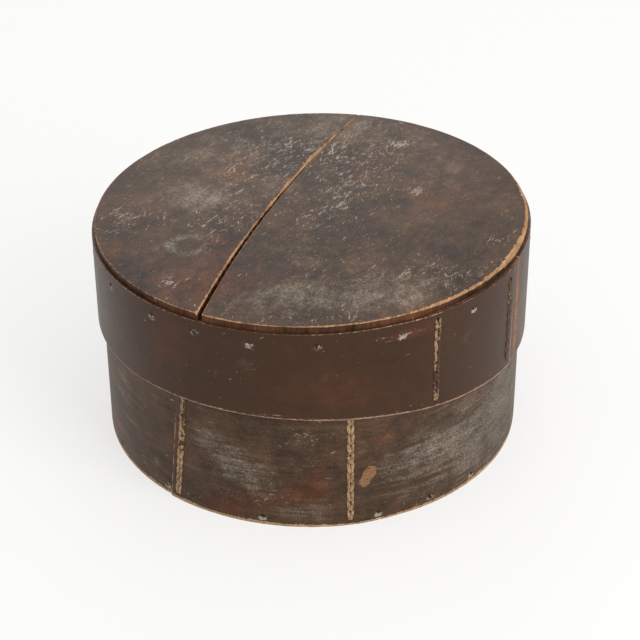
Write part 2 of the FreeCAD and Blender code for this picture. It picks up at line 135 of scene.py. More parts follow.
LAMPS = (
    ("lamp_right", (1.6, -1.6, 1.6), 1.5, 27.0),
    ("lamp_above", (0.3, -0.5, 2.5), 2.0, 13.0),
    ("lamp_behind", (-0.2, 2.4, 1.2), 1.3, 8.0),
)
for name, place, width, power in LAMPS:
    lamp = bpy.data.objects.new(name, bpy.data.lights.new(name, "AREA"))
    lamp.data.size = width
    lamp.data.energy = power
    lamp.location = place
    lamp.rotation_euler = (-Vector(place)).to_track_quat("-Z", "Y").to_euler()
    bpy.context.scene.collection.objects.link(lamp)


# The base band: one strip of pine 3 mm thick, bent once round and past itself, with both ends
# shaved thin where they lap. Old brown paint outside, bare wood inside, worn along its edges.
mm = 0.001
base_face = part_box("base_band")[1][1]
base_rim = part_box("base_band")[1][2]
BASE_STRIP = 3.0 * mm
LAP_STEP = 1.1 * mm
THIN_END = 1.0 * mm
SETTLE = 10.0
BASE_LEFT_SEAM = -125.6
BASE_LEFT_LEAN = math.radians(6.3)
BASE_RIGHT_SEAM = -80.5
SEAM_MARGIN = 6.4 * mm
STITCH_EDGE = 4.6 * mm
PITCH = 7.7 * mm
SLIT = Vector((0.9, 1.5, 4.0)) * mm
BASE_END_KEPT = 1.8
BASE_COLUMNS = 800
BASE_ROWS = [0, 0.35, 0.8, 1.4, 2.2, 3.2, 4.2, 5.2, 6.2, 7.2, 8.2, 9.5, 12]
BASE_ROWS += [16 + 4.5 * step for step in range(27)] + [136.5, 138.2, 139.2, 139.9, 140.25, 140.5]
BASE_PEG_ANGLES = (-156, -132.8, -103.4, -72.9, -57.4, -42.3, -12, 15, 42, 68, 97, 125, 152, 178)
BASE_PEG_HEIGHT = 6.5 * mm
PEG_HOLE = 1.8 * mm
HOLE_DEPTH = 0.9 * mm


def uneven(places, scale, seed):
    """Smooth noise between about -1 and 1 at each place, given in metres and a scale per metre."""
    shift = Vector((seed * 7.3, seed * 3.1, seed * 5.7))
    return numpy.array([noise.noise(Vector(place) * scale + shift) for place in places])


def smooth(value, low, high):
    share = numpy.clip((value - low) / (high - low), 0, 1)
    return share * share * (3 - 2 * share)


def corners_of(piece):
    corners = numpy.empty(len(piece.data.vertices) * 3)
    piece.data.vertices.foreach_get("co", corners)
    return corners.reshape(-1, 3)


def write_attributes(piece, **values):
    for name, numbers in values.items():
        attribute = piece.data.attributes.new(name, "FLOAT", "POINT")
        attribute.data.foreach_set("value", numbers.astype(numpy.float32))


def flat_slab(name, columns, rows, layers):
    """A grid one metre square pulled out to a closed slab; returns the piece and its corners."""
    bpy.ops.object.select_all(action="DESELECT")
    bpy.ops.mesh.primitive_grid_add(x_subdivisions=columns, y_subdivisions=rows, size=1)
    slab = bpy.context.object
    slab.name = name
    bpy.ops.object.mode_set(mode="EDIT")
    for low, high in zip(layers, layers[1:]):
        bpy.ops.mesh.extrude_region_move(TRANSFORM_OT_translate={"value": (0, 0, high - low)})
    bpy.ops.mesh.select_all(action="SELECT")
    bpy.ops.mesh.normals_make_consistent(inside=False)
    bpy.ops.object.mode_set(mode="OBJECT")
    return slab, corners_of(slab) + (0.5, 0.5, 0.0)


def move_corners(piece, corners):
    piece.data.vertices.foreach_set("co", corners.astype(numpy.float32).ravel())
    piece.data.update()
    piece.data.shade_smooth()


def joined_copies(name, pattern, places):
    """Copies the pattern once for each array of corners and joins the copies to one piece."""
    bpy.ops.object.select_all(action="DESELECT")
    for corners in places:
        piece = pattern.copy()
        piece.data = pattern.data.copy()
        bpy.context.scene.collection.objects.link(piece)
        piece.data.vertices.foreach_set("co", corners.astype(numpy.float32).ravel())
        piece.select_set(True)
    bpy.context.view_layer.objects.active = piece
    bpy.ops.object.join()
    piece.name = name
    bpy.ops.object.mode_set(mode="EDIT")
    bpy.ops.mesh.select_all(action="SELECT")
    bpy.ops.mesh.normals_make_consistent(inside=False)
    bpy.ops.object.mode_set(mode="OBJECT")
    return piece


def on_band(local, angle, face, height, lean=0.0):
    """Bends places given across, up and out round a band's face at an angle in degrees."""
    across, climb, out = local.T
    swung = math.radians(angle) + (across * math.cos(lean) + climb * math.sin(lean)) / face
    up = height + climb * math.cos(lean) - across * math.sin(lean)
    far = face + out
    return numpy.stack([far * numpy.cos(swung), far * numpy.sin(swung), up], axis=1)


def stitch_heights(low, high):
    """How far each slit of a seam lies above or below the seam's middle."""
    stitches = int((high - low - 2 * STITCH_EDGE) / PITCH)
    return [(step - stitches / 2) * PITCH for step in range(stitches + 1)]


def cut_holes(band, seams, pegs, face):
    """Cuts the slits and peg holes; each new corner takes its values from the nearest old one."""
    bpy.ops.mesh.primitive_cube_add(size=2)
    block = bpy.context.object
    bpy.ops.mesh.primitive_cylinder_add(vertices=12, radius=PEG_HOLE, depth=2 * HOLE_DEPTH)
    bore = bpy.context.object
    slits = [
        on_band(corners_of(block) * SLIT + (0, climb, 0), angle, face, (low + high) / 2, lean)
        for angle, low, high, lean in seams for climb in stitch_heights(low, high)
    ]
    bores = [on_band(corners_of(bore), angle, face + step, height) for angle, step, height in pegs]
    names = [made.name for made in band.data.attributes if made.data_type == "FLOAT"]
    before = {name: numpy.empty(len(band.data.vertices), numpy.float32) for name in names}
    for name in names:
        band.data.attributes[name].data.foreach_get("value", before[name])
    old = kdtree.KDTree(len(band.data.vertices))
    for number, place in enumerate(corners_of(band)):
        old.insert(place, number)
    old.balance()
    for cutter in (joined_copies("slits", block, slits), joined_copies("bores", bore, bores)):
        cut = band.modifiers.new("holes", "BOOLEAN")
        cut.operation = "DIFFERENCE"
        cut.object = cutter
        bpy.context.view_layer.objects.active = band
        bpy.ops.object.modifier_apply(modifier="holes")
        bpy.data.objects.remove(cutter)
    nearest = numpy.array([old.find(place)[1] for place in corners_of(band)])
    for name in names:
        band.data.attributes[name].data.foreach_set("value", before[name][nearest])
    bpy.data.objects.remove(block)
    bpy.data.objects.remove(bore)


STRIP_LAYERS = (0.0, 0.12, 0.5, 0.88, 1.0)
ROUNDING = (-0.5, -0.1, 0.0, 0.25, 1.0)
COARSE_CHIPS, FINE_CHIPS = 210, 620
WORN_OFF = 0.9
SWELL = 0.35 * mm
SWELLS = 9


def bent_strip(name, face, strip, hand, outer_end, lap, flat, columns, rows,
               foot_at, top_at, start_at, wear_at, end_kept):
    """Bends a flat slab once round and past itself. Angles are degrees past the outer end."""
    slab, corners = flat_slab(name, columns, len(rows) - 1, STRIP_LAYERS)
    along = corners[:, 0] if hand > 0 else 1 - corners[:, 0]
    row = numpy.rint(corners[:, 1] * (len(rows) - 1)).astype(int)
    share = numpy.array(rows)[row] / rows[-1]
    layer = corners[:, 2]
    start = start_at(share)
    turn = start + along * (360 + lap - start)
    angle = numpy.radians(outer_end + hand * turn)
    around = numpy.stack([numpy.cos(angle), numpy.sin(angle), share], axis=1)

    inner = face - strip
    front_radius = numpy.interp(
        turn, [0, lap, lap + SETTLE, 360 + flat, 360 + lap],
        [face + LAP_STEP, face + LAP_STEP, face, face, inner + THIN_END],
    )
    back_radius = numpy.interp(
        turn, [0, flat, lap, lap + SETTLE, 360 + lap],
        [face + LAP_STEP - THIN_END, face + LAP_STEP - THIN_END, inner + LAP_STEP, inner, inner],
    )
    foot = foot_at(angle)
    rim = top_at(angle)
    height = foot + share * (rim - foot)
    below = numpy.minimum(height - foot, rim - height) / mm
    end_near = numpy.minimum(turn - start, 360 + lap - turn) * math.radians(1) * face / mm + end_kept
    edge = numpy.minimum(below, end_near)

    chip = uneven(around * face, COARSE_CHIPS, 1) * 0.6 + uneven(around * face, FINE_CHIPS, 2) * 0.5
    width = wear_at(angle, share) * (1 + 0.6 * chip)
    drop = numpy.clip(width - edge, 0, WORN_OFF) * numpy.where(share < 0.5, 0.12, 0.3) * mm
    drop = drop * numpy.interp(layer, STRIP_LAYERS, ROUNDING)
    swell = uneven(around * face * (1, 1, 0.4), SWELLS, 3) * SWELL * smooth(below, 0, 20)
    radius = back_radius + layer * (front_radius - back_radius) - drop + swell
    pull = numpy.clip(chip, 0, 1) * 0.5 * mm * (below < 0.1)
    height = height + numpy.where(share > 0.5, -pull, pull)
    bent = [radius * numpy.cos(angle), radius * numpy.sin(angle), height]
    move_corners(slab, numpy.stack(bent, axis=1))
    write_attributes(
        slab, along=hand * turn * math.radians(1) * face, up=height,
        bared=width - edge - (1 - layer) * strip / mm * 1.5, inside=(1 - layer) * (share < 1),
    )
    return slab, numpy.degrees(angle), height


def base_start(share):
    return numpy.degrees(numpy.tan(BASE_LEFT_LEAN) * share * base_rim / base_face)


def base_wear(angle, share):
    foot_wear = 2.3 + 0.35 * numpy.cos(angle * 3 + 1) + 0.25 * numpy.cos(angle * 7)
    return foot_wear * (1 - smooth(share, 0.5, 0.6)) + 0.8 * smooth(share, 0.5, 0.6)


half_lean = math.degrees(math.tan(BASE_LEFT_LEAN) * base_rim / 2 / base_face)
margin = math.degrees(SEAM_MARGIN / base_face)
base_end = BASE_LEFT_SEAM - margin - half_lean
base_lap = BASE_RIGHT_SEAM + margin - base_end
base_flat = 2 * half_lean + math.degrees(STITCH_EDGE / base_face)
base_band, base_angle, base_height = bent_strip(
    "base_band_wood", base_face, BASE_STRIP, 1, base_end, base_lap, base_flat, BASE_COLUMNS,
    BASE_ROWS, lambda angle: 0 * angle, lambda angle: 0 * angle + base_rim, base_start, base_wear,
    BASE_END_KEPT,
)


def turned(angle, middle):
    """The turn from middle to angle, in degrees between -180 and 180."""
    return (angle - middle + 180) % 360 - 180


def rubbed(angle, height, places):
    """Adds up soft oval patches, each an angle, a height in mm, two half widths and a strength."""
    total = numpy.zeros(len(angle))
    for middle, level_mm, wide, high, strength in places:
        far = (turned(angle, middle) / wide) ** 2 + ((height / mm - level_mm) / high) ** 2
        total += strength * numpy.exp(-far)
    return total


def peg_scuffs(angles, height_at):
    return [(angle, height_at(math.radians(angle)) / mm - 1.6, 1.0, 1.7, 4.5) for angle in angles]


BASE_GREY = [
    (-112, 45, 8, 14, 1.2), (-104, 30, 7, 10, 0.8), (-118, 62, 5, 9, 0.7), (-66, 40, 10, 12, 1.0),
    (-54, 52, 11, 20, 1.0), (-94, 60, 5, 14, 0.6), (-40, 30, 13, 26, 1.2), (-18, 60, 17, 55, 2.3),
    (-92, 12, 7, 8, 0.7), (-62, 14, 12, 9, 0.5), (-150, 50, 8, 30, 0.5), (-172, 50, 12, 40, 0.7),
    (60, 50, 30, 25, 0.7), (100, 80, 20, 30, 0.5), (140, 40, 28, 25, 0.7),
]
BASE_RED = [
    (-91, 32, 6, 10, 1.4), (-88, 52, 5, 10, 0.7), (-127, 50, 5, 26, 0.6), (-72, 67, 6, 6, 0.8),
    (-115, 9, 9, 7, 1.3), (-106, 22, 8, 8, 1.1), (-60, 4, 20, 3, 0.8), (100, 50, 24, 20, 0.6),
    (-160, 20, 10, 12, 0.5), (30, 30, 18, 20, 0.5),
]
BASE_BARE = [
    (-75.5, 42, 1.7, 4.0, 1.3), (-76.6, 35, 1.5, 4.0, 1.3), (-74.7, 41, 1.2, 3, 0.8),
    (-69.6, 67, 1.0, 1.2, 0.9), (-66.4, 77, 0.8, 1.2, 0.7), (-75.2, 68, 2.0, 0.8, 0.75),
    (-88, 41, 1.7, 1.0, 0.7), (-132, 3, 3, 1.5, 0.6), (-52, 3.4, 6, 1.4, 0.6),
    (-115, 4.8, 7, 0.5, 0.75), (60, 20, 2, 3, 0.9), (112, 66, 3, 1.2, 0.8),
]
BASE_SCUFF = [
    (-91, 74, 5, 5, 1.0), (-88, 60, 5, 12, 0.5), (-58, 40, 10, 14, 0.8), (-45, 45, 12, 18, 0.6),
    (-106, 40, 8, 16, 0.5), (-102, 22, 6, 7, 0.8), (-140, 77.5, 2, 1.2, 1.6), (-133, 40, 2, 2, 1.8),
    (-142, 14, 2, 4, 1.2), (-137, 22, 1.5, 3, 1.2), (-101.6, 63.4, 0.6, 1.0, 3.0),
    (-121, 36, 1, 1.2, 1.6), (-115, 19, 2, 3, 1.2), (-60, 6, 14, 4, 0.7), (-128, 8, 8, 6, 0.6),
    (80, 50, 40, 40, 0.4),
] + peg_scuffs(BASE_PEG_ANGLES, lambda angle: BASE_PEG_HEIGHT)
write_attributes(
    base_band, grey=rubbed(base_angle, base_height, BASE_GREY),
    red=rubbed(base_angle, base_height, BASE_RED),
    bare=rubbed(base_angle, base_height, BASE_BARE),
    scuff=0.25 + rubbed(base_angle, base_height, BASE_SCUFF),
)
base_peg_places = [
    (angle, LAP_STEP if base_end < angle < base_end + base_lap else 0.0, BASE_PEG_HEIGHT)
    for angle in BASE_PEG_ANGLES
]
cut_holes(
    base_band,
    [(BASE_LEFT_SEAM, 0.0, base_rim, BASE_LEFT_LEAN), (BASE_RIGHT_SEAM, 0.0, base_rim, 0.0)],
    base_peg_places, base_face + LAP_STEP / 2,
)


def new_group(name, inputs, outputs):
    """An empty shader group with its sockets; returns its tree, its inputs and its outputs."""
    group = bpy.data.node_groups.new(name, "ShaderNodeTree")
    for label, kind in inputs:
        group.interface.new_socket(label, in_out="INPUT", socket_type="NodeSocket" + kind)
    for label, kind in outputs:
        group.interface.new_socket(label, in_out="OUTPUT", socket_type="NodeSocket" + kind)
    return group, group.nodes.new("NodeGroupInput").outputs, group.nodes.new("NodeGroupOutput").inputs


def fade(tree, value, low, high):
    """0 below low, 1 above high and smooth between."""
    settings = {"interpolation_type": "SMOOTHSTEP"}
    return add_node(tree, "MapRange", settings, Value=value, From_Min=low, From_Max=high).outputs[0]


def scaled(tree, colour, share):
    return add_node(tree, "VectorMath", {"operation": "SCALE"}, _0=colour, Scale=share).outputs[0]


def swing(tree, base, *parts):
    """Adds each part's swing about its middle of 0.5, times its weight, to the base."""
    for value, weight in parts:
        base = sums(tree, "ADD", base, sums(tree, "MULTIPLY_ADD", value, weight, -weight / 2))
    return base


def grainy(tree, place, scale, detail=3.0, roughness=0.5, stretch=(1, 1, 1)):
    """Soft noise at a scale per metre, drawn out along the axes with the smaller stretch."""
    drawn = add_node(tree, "VectorMath", {"operation": "MULTIPLY"}, _0=place, _1=stretch).outputs[0]
    grain = add_node(tree, "TexNoise", Vector=drawn, Scale=scale, Detail=detail, Roughness=roughness)
    return grain.outputs[0]


# Old paint: dark brown, reddened or hazed over in clouds, flaked and scratched to a pale ground,
# and rubbed through to wood along the edges. On the lid top the grey haze also carries a painted
# sheen along the back.
REDDENED = (0.125, 0.04, 0.018, 1)
HAZE_AND_SHEEN = (0.225, 0.2, 0.16, 1)
PALE_GROUND, TAN_GROUND = (0.5, 0.43, 0.36, 1), (0.4, 0.29, 0.2, 1)
DARK_STAIN = (0.13, 0.05, 0.024, 1)
RUBBED_WOOD = (0.36, 0.185, 0.092, 1)
SCRATCHES = ((0.0, 480.0, 0.17), (0.35, 760.0, 0.14), (-0.5, 620.0, 0.24))
paint, given, result = new_group(
    "old_paint",
    [("Place", "Vector"), ("Bared", "Float"), ("Bare", "Float"), ("Grey", "Float"), ("Red", "Float"),
     ("Scuff", "Float"), ("Comb", "Float"), ("Mottle", "Float"), ("Streaks", "Float"),
     ("Brown", "Color"), ("Wood", "Color")],
    [("Colour", "Color"), ("Roughness", "Float"), ("Height", "Float")],
)
spot = given["Place"]
clouds = grainy(paint, spot, 16.0, 5.0, 0.6)
mottle = grainy(paint, spot, 95.0, 8.0, 0.75, (0.8, 1, 1))
smears = grainy(paint, spot, 240.0, 5.0, 0.7, (0.07, 1, 1))
fibres = grainy(paint, spot, 620.0, 4.0, 0.6, (0.06, 1, 1))
dust = grainy(paint, spot, 620.0, 5.0, 0.8)
flakes = grainy(paint, spot, 330.0, 5.0, 0.72)
crumbs = grainy(paint, spot, 760.0, 2.0, 0.5)

reddish = fade(paint, swing(paint, given["Red"], (clouds, 1.6), (mottle, 1.0)), 0.1, 1.2)
colour = blend(paint, sums(paint, "MULTIPLY", reddish, 0.7), given["Brown"], REDDENED)
streaky = sums(paint, "MULTIPLY", sums(paint, "SUBTRACT", smears, 0.5), given["Streaks"])
# The haze mask: grey haze on the paint, and on the lid top also a painted sheen along the back
haze_and_sheen = swing(paint, given["Grey"], (clouds, 1.3), (mottle, 2.2))
haze_and_sheen = sums(paint, "MULTIPLY_ADD", streaky, 2.6, haze_and_sheen)
grit = sums(paint, "MULTIPLY_ADD", fade(paint, dust, 0.4, 0.62), 0.9, 0.2)
haze_and_sheen = sums(paint, "MULTIPLY", fade(paint, haze_and_sheen, 0.25, 1.5), grit)
colour = blend(paint, sums(paint, "MULTIPLY", haze_and_sheen, 0.8), colour, HAZE_AND_SHEEN)
shade = swing(paint, 0.0, (clouds, 1.5), (mottle, 1.9), (dust, 1.6))
combed = sums(paint, "MULTIPLY_ADD", streaky, 0.9, 1.0)
shade = sums(paint, "MULTIPLY_ADD", shade, given["Mottle"], combed)
colour = scaled(paint, colour, sums(paint, "MAXIMUM", shade, 0.25))

marks = fade(paint, sums(paint, "MULTIPLY_ADD", given["Scuff"], 0.085, flakes), 0.7, 0.73)
specks = fade(paint, sums(paint, "MULTIPLY_ADD", given["Scuff"], 0.07, crumbs), 0.72, 0.76)
marks = sums(paint, "MAXIMUM", marks, sums(paint, "MULTIPLY", specks, 0.8))
for turn, scale, stretch in SCRATCHES:
    swung = add_node(paint, "VectorRotate", {"rotation_type": "Z_AXIS"}, Vector=spot,
                     Angle=sums(paint, "ADD", given["Comb"], turn)).outputs[0]
    stroke = grainy(paint, swung, scale, 3.0, 0.5, (stretch, 1, 1))
    stroke = fade(paint, sums(paint, "MULTIPLY_ADD", given["Scuff"], 0.095, stroke), 0.745, 0.775)
    marks = sums(paint, "MAXIMUM", marks, sums(paint, "MULTIPLY", stroke, 0.85))
marks = sums(paint, "MULTIPLY", marks, fade(paint, mottle, 0.4, 0.54))
pale = blend(paint, fade(paint, clouds, 0.42, 0.6), PALE_GROUND, TAN_GROUND)
colour = blend(paint, sums(paint, "MULTIPLY", marks, 0.95), colour, pale)

ragged = swing(paint, given["Bared"], (flakes, 3.0), (dust, 1.5))
stained = fade(paint, ragged, -1.3, 0.2)
colour = blend(paint, sums(paint, "MULTIPLY", stained, 0.5), colour, DARK_STAIN)
patch = swing(paint, given["Bare"], (mottle, 1.0), (flakes, 1.1), (smears, 0.4))
rubbed_out = fade(paint, patch, 0.5, 0.58)
worn = sums(paint, "MAXIMUM", fade(paint, ragged, -0.1, 0.25), rubbed_out)
wood = blend(paint, rubbed_out, given["Wood"], RUBBED_WOOD)
wood = scaled(paint, wood, swing(paint, 0.9, (fibres, 1.4), (mottle, 1.6), (dust, 2.4)))
paint.links.new(blend(paint, worn, colour, wood), result["Colour"])
rough = swing(paint, 0.5, (mottle, 0.3), (dust, 0.25))
rough = sums(paint, "MULTIPLY_ADD", haze_and_sheen, 0.22, sums(paint, "MULTIPLY_ADD", worn, 0.25, rough))
paint.links.new(rough, result["Roughness"])
height = sums(paint, "MULTIPLY_ADD", worn, -0.3, sums(paint, "MULTIPLY", marks, -0.15))
height = swing(paint, height, (fibres, 0.1), (mottle, 0.4), (dust, 0.12))
paint.links.new(height, result["Height"])

# Bare wood: long growth lines along the grain, browned by age and handling
GROWTH_LINES, LINES_BENT = 1500.0, 62.0
bare_wood, given, result = new_group(
    "bare_wood",
    [("Place", "Vector"), ("Pale", "Color"), ("Dark", "Color")],
    [("Colour", "Color"), ("Roughness", "Float"), ("Height", "Float")],
)
bend = grainy(bare_wood, given["Place"], 16.0, 3.0, 0.5, (0.22, 1, 1))
across = add_node(bare_wood, "SeparateXYZ", Vector=given["Place"]).outputs[1]
bend = sums(bare_wood, "MULTIPLY", bend, LINES_BENT)
rings = sums(bare_wood, "MULTIPLY_ADD", across, GROWTH_LINES, bend)
rings = sums(bare_wood, "MULTIPLY_ADD", sums(bare_wood, "SINE", rings), 0.5, 0.5)
fibres = grainy(bare_wood, given["Place"], 900.0, 4.0, 0.6, (0.04, 1, 1))
stain = grainy(bare_wood, given["Place"], 16.0, 4.0, 0.6)
late = sums(bare_wood, "MULTIPLY", sums(bare_wood, "POWER", rings, 2.5), fibres)
colour = blend(bare_wood, fade(bare_wood, late, 0.05, 0.55), given["Pale"], given["Dark"])
colour = scaled(bare_wood, colour, swing(bare_wood, 0.95, (stain, 0.9), (fibres, 0.5)))
bare_wood.links.new(colour, result["Colour"])
bare_wood.links.new(sums(bare_wood, "MULTIPLY_ADD", fibres, 0.2, 0.55), result["Roughness"])
height = sums(bare_wood, "MULTIPLY_ADD", fibres, 0.12, sums(bare_wood, "MULTIPLY", late, 0.1))
bare_wood.links.new(height, result["Height"])


def new_finish(name):
    finish = bpy.data.materials.new(name)
    finish.use_nodes = True
    tree = finish.node_tree
    tree.nodes.clear()
    shader = add_node(tree, "BsdfPrincipled")
    tree.links.new(shader.outputs[0], add_node(tree, "OutputMaterial").inputs[0])
    return finish, tree, shader


def read_attribute(tree, name):
    return add_node(tree, "Attribute", {"attribute_name": name}).outputs["Fac"]


PAINT_MARKS = ("Bared", "Bare", "Grey", "Red", "Scuff")
AGED_PALE, AGED_DARK = (0.34, 0.19, 0.085, 1), (0.15, 0.07, 0.03, 1)


def painted_finish(name, place_of, brown, wood, comb, mottle, streaks, gloss, shine):
    """Paint on the faces marked outside and bare wood on those marked inside."""
    finish, tree, shader = new_finish(name)
    place = place_of(tree)
    coat = add_node(
        tree, "Group", {"node_tree": paint}, Place=place, Comb=comb, Mottle=mottle, Streaks=streaks,
        Brown=brown, Wood=wood, **{mark: read_attribute(tree, mark.lower()) for mark in PAINT_MARKS},
    ).outputs
    bare = add_node(tree, "Group", {"node_tree": bare_wood}, Place=place, Pale=AGED_PALE,
                    Dark=AGED_DARK).outputs
    inside = fade(tree, read_attribute(tree, "inside"), 0.3, 0.7)
    tree.links.new(blend(tree, inside, coat["Colour"], bare["Colour"]), shader.inputs["Base Color"])
    rough = add_node(tree, "Mix", _0=inside, _2=sums(tree, "SUBTRACT", coat["Roughness"], gloss),
                     _3=bare["Roughness"]).outputs[0]
    tree.links.new(rough, shader.inputs["Roughness"])
    relief = add_node(tree, "Mix", _0=inside, _2=coat["Height"], _3=bare["Height"]).outputs[0]
    bump = add_node(tree, "Bump", Height=relief, Distance=0.8 * mm, Strength=0.6).outputs[0]
    tree.links.new(bump, shader.inputs["Normal"])
    shader.inputs["Specular IOR Level"].default_value = shine
    return finish


def strip_place(tree):
    """A place on a bent strip as if it lay flat: along it, up it and nothing across."""
    along, up = read_attribute(tree, "along"), read_attribute(tree, "up")
    return add_node(tree, "CombineXYZ", X=along, Y=up).outputs[0]


base_band.data.materials.append(painted_finish(
    "base_band_paint", strip_place, brown=(0.088, 0.049, 0.027, 1), wood=(0.56, 0.37, 0.2, 1),
    comb=math.radians(-4), mottle=1.3, streaks=1.3, gloss=0.0, shine=0.2,
))
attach(base_band, "box")
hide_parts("base_band")

# The bottom: two pine boards sawn to the curve of the band and dowelled edge to edge, bare on
# both faces and pegged through the band.
bottom_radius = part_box("base_bottom_wide_board")[1][0]
bottom_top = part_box("base_bottom_wide_board")[1][2]
BOTTOM_JOINT = (80.0, -112.0)
BOTTOM_JOINT_GAP = 0.6 * mm
BOTTOM_JOINT_BOW = 0.0001 * mm
BOTTOM_GRID, BOTTOM_LAYERS = (70, 80), (0.0, 0.06, 0.5, 0.94, 1.0)
RIM_SHARE = 0.27


def on_rim(radius, angle):
    turn = numpy.radians(angle)
    return numpy.stack([radius * numpy.cos(turn), radius * numpy.sin(turn)], axis=-1)


def three_point_arc(first, middle, last):
    """The centre and radius of the circle through three places."""
    rows = numpy.array([middle - first, last - first]) * 2
    known = numpy.array([middle @ middle - first @ first, last @ last - first @ first])
    centre = numpy.linalg.solve(rows, known)
    return centre, numpy.linalg.norm(first - centre)


def crowded(share, crowding=0.86):
    """Even shares from 0 to 1, drawn together towards both ends."""
    return share - crowding * numpy.sin(2 * numpy.pi * share) / (2 * numpy.pi)


def sawn_board(name, radius, joint_ends, joint_gaps, joint_bow, side, columns, rows, layers):
    """A slab shaped to one board of a round pair: side is 1 for the right and -1 for the left.

    Returns it with each corner's place seen from above, its share of the thickness, and how far
    it lies from the rim and from the joint, in mm.
    """
    slab, corners = flat_slab(name, columns, rows, layers)
    back = joint_ends[0] - side * math.degrees(joint_gaps[0] / 2 / radius)
    front = joint_ends[1] + side * math.degrees(joint_gaps[1] / 2 / radius)
    if side < 0:
        back -= 360
    ends = on_rim(radius, numpy.array([front, back]))
    line = on_rim(radius, numpy.array(joint_ends))
    chord_middle = line.mean(axis=0)
    line = (line[0] - line[1]) / numpy.linalg.norm(line[0] - line[1])
    leftwards = numpy.array([-line[1], line[0]])
    bowed = chord_middle + leftwards * (joint_bow - side * (joint_gaps[0] + joint_gaps[1]) / 4)
    centre, joint_radius = three_point_arc(ends[0], bowed, ends[1])
    ray = [numpy.arctan2(*(end - centre)[::-1]) for end in ends]
    ray[1] = ray[0] + (ray[1] - ray[0] + numpy.pi) % (2 * numpy.pi) - numpy.pi

    along = crowded(corners[:, 1])
    outward = crowded(corners[:, 0] if side > 0 else 1 - corners[:, 0])
    swept = ray[0] + along * (ray[1] - ray[0])
    joint = centre + joint_radius * numpy.stack([numpy.cos(swept), numpy.sin(swept)], axis=1)
    sweep = back - front
    far = on_rim(radius, front + sweep * (RIM_SHARE + along * (1 - 2 * RIM_SHARE)))
    near_front = on_rim(radius, front + sweep * RIM_SHARE * outward)
    near_back = on_rim(radius, back - sweep * RIM_SHARE * outward)
    far_ends = on_rim(radius, front + sweep * numpy.array([RIM_SHARE, 1 - RIM_SHARE]))
    along, outward = along[:, None], outward[:, None]
    flat = (1 - outward) * joint + outward * far + (1 - along) * near_front + along * near_back
    flat -= (
        (1 - along) * (1 - outward) * ends[0] + along * (1 - outward) * ends[1]
        + (1 - along) * outward * far_ends[0] + along * outward * far_ends[1]
    )
    to_rim = (radius - numpy.linalg.norm(flat, axis=1)) / mm
    to_joint = numpy.abs(numpy.linalg.norm(flat - centre, axis=1) - joint_radius) / mm
    return slab, flat, corners[:, 2], to_rim, to_joint


def bare_finish(name, pale, dark, turn):
    finish, tree, shader = new_finish(name)
    place = add_node(tree, "TexCoord").outputs["Object"]
    place = add_node(tree, "Mapping", Vector=place, Rotation=(0, 0, turn)).outputs[0]
    group = {"node_tree": bare_wood}
    wood = add_node(tree, "Group", group, Place=place, Pale=pale, Dark=dark).outputs
    tree.links.new(wood["Colour"], shader.inputs["Base Color"])
    tree.links.new(wood["Roughness"], shader.inputs["Roughness"])
    bump = add_node(tree, "Bump", Height=wood["Height"], Distance=0.8 * mm, Strength=0.7).outputs[0]
    tree.links.new(bump, shader.inputs["Normal"])
    shader.inputs["Specular IOR Level"].default_value = 0.3
    return finish


bottom_finish = bare_finish(
    "bottom_wood", (0.38, 0.23, 0.11, 1), (0.2, 0.1, 0.045, 1), math.radians(-76)
)
for side, node in ((1, "base_bottom_wide_board"), (-1, "base_bottom_narrow_board")):
    board, flat, layer, to_rim, to_joint = sawn_board(
        f"{node}_wood", bottom_radius, BOTTOM_JOINT, (BOTTOM_JOINT_GAP, BOTTOM_JOINT_GAP),
        BOTTOM_JOINT_BOW, side, *BOTTOM_GRID, BOTTOM_LAYERS,
    )
    edge = numpy.minimum(to_rim, to_joint)
    on_face = numpy.clip(numpy.abs(layer - 0.5) * 20 - 9, 0, 1)
    eased = numpy.clip(0.8 - edge, 0, None) * 0.5 * mm * on_face
    hollow = uneven(numpy.c_[flat, flat[:, 0] * 0] * (0.5, 1, 1), 26, 4 + side) * 0.25 * mm
    hollow = hollow * smooth(edge, 0, 12)
    height = layer * bottom_top + numpy.where(layer > 0.5, hollow - eased, eased)
    move_corners(board, numpy.c_[flat, height])
    board.data.materials.append(bottom_finish)
    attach(board, "box")
    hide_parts(node)

# The dowels: round sticks of bare pine across both board joints, two in each. They are hidden
# unless a joint opens, so the plain turned shape is kept and only gets its wood.
dowel_finish = bare_finish("dowel_wood", (0.4, 0.25, 0.13, 1), (0.24, 0.13, 0.06, 1), 0.0)
for node in ("base_bottom_dowels", "lid_board_dowels"):
    dowels = bpy.data.objects[node]
    dowels.data.materials.clear()
    dowels.data.materials.append(dowel_finish)


# The lid band: a thinner strip bent the same way, its outer end at the right of the front. Its
# lower edge has worn uneven, and its upper edge shows as a thin line below the boards.
lid_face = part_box("lid_band")[1][1]
LID_STRIP = 2.0 * mm
LID_LEFT_SEAM = -58.2
LID_RIGHT_SEAM = -30.5
LID_RIM = 154.4 * mm
LID_RIM_RISE = 0.0184
LID_FOOT = 81.3 * mm
LID_FOOT_FALL = 0.0322
LID_FOOT_BOW = 7.6 * mm
LID_PEG_ANGLES = (
    -151.6, -133.2, -120.0, -105.3, -88.8, -67.9, -46.7,
    -8, 17, 42, 66, 93, 118, 143, 168, -170,
)
LID_PEG_DROP = 8.4 * mm
LID_END_KEPT = 0.15
LID_COLUMNS = 790
LID_ROWS = [0, 0.35, 0.8, 1.4, 2.2, 3.2, 4.6, 7.5, 11, 15, 19.5, 24, 28.5, 33, 37.5, 42, 46.5, 51]
LID_ROWS += [55, 58.5, 61, 62.5, 63.6, 64.6, 65.6, 66.6, 68, 69.6, 71, 72.1, 72.75, 73.1]


def lid_foot(angle):
    fall = LID_FOOT_FALL * lid_face * numpy.cos(angle)
    return LID_FOOT - fall + LID_FOOT_BOW * numpy.sin(angle) ** 2


def lid_rim(angle):
    return LID_RIM + LID_RIM_RISE * lid_face * numpy.cos(angle)


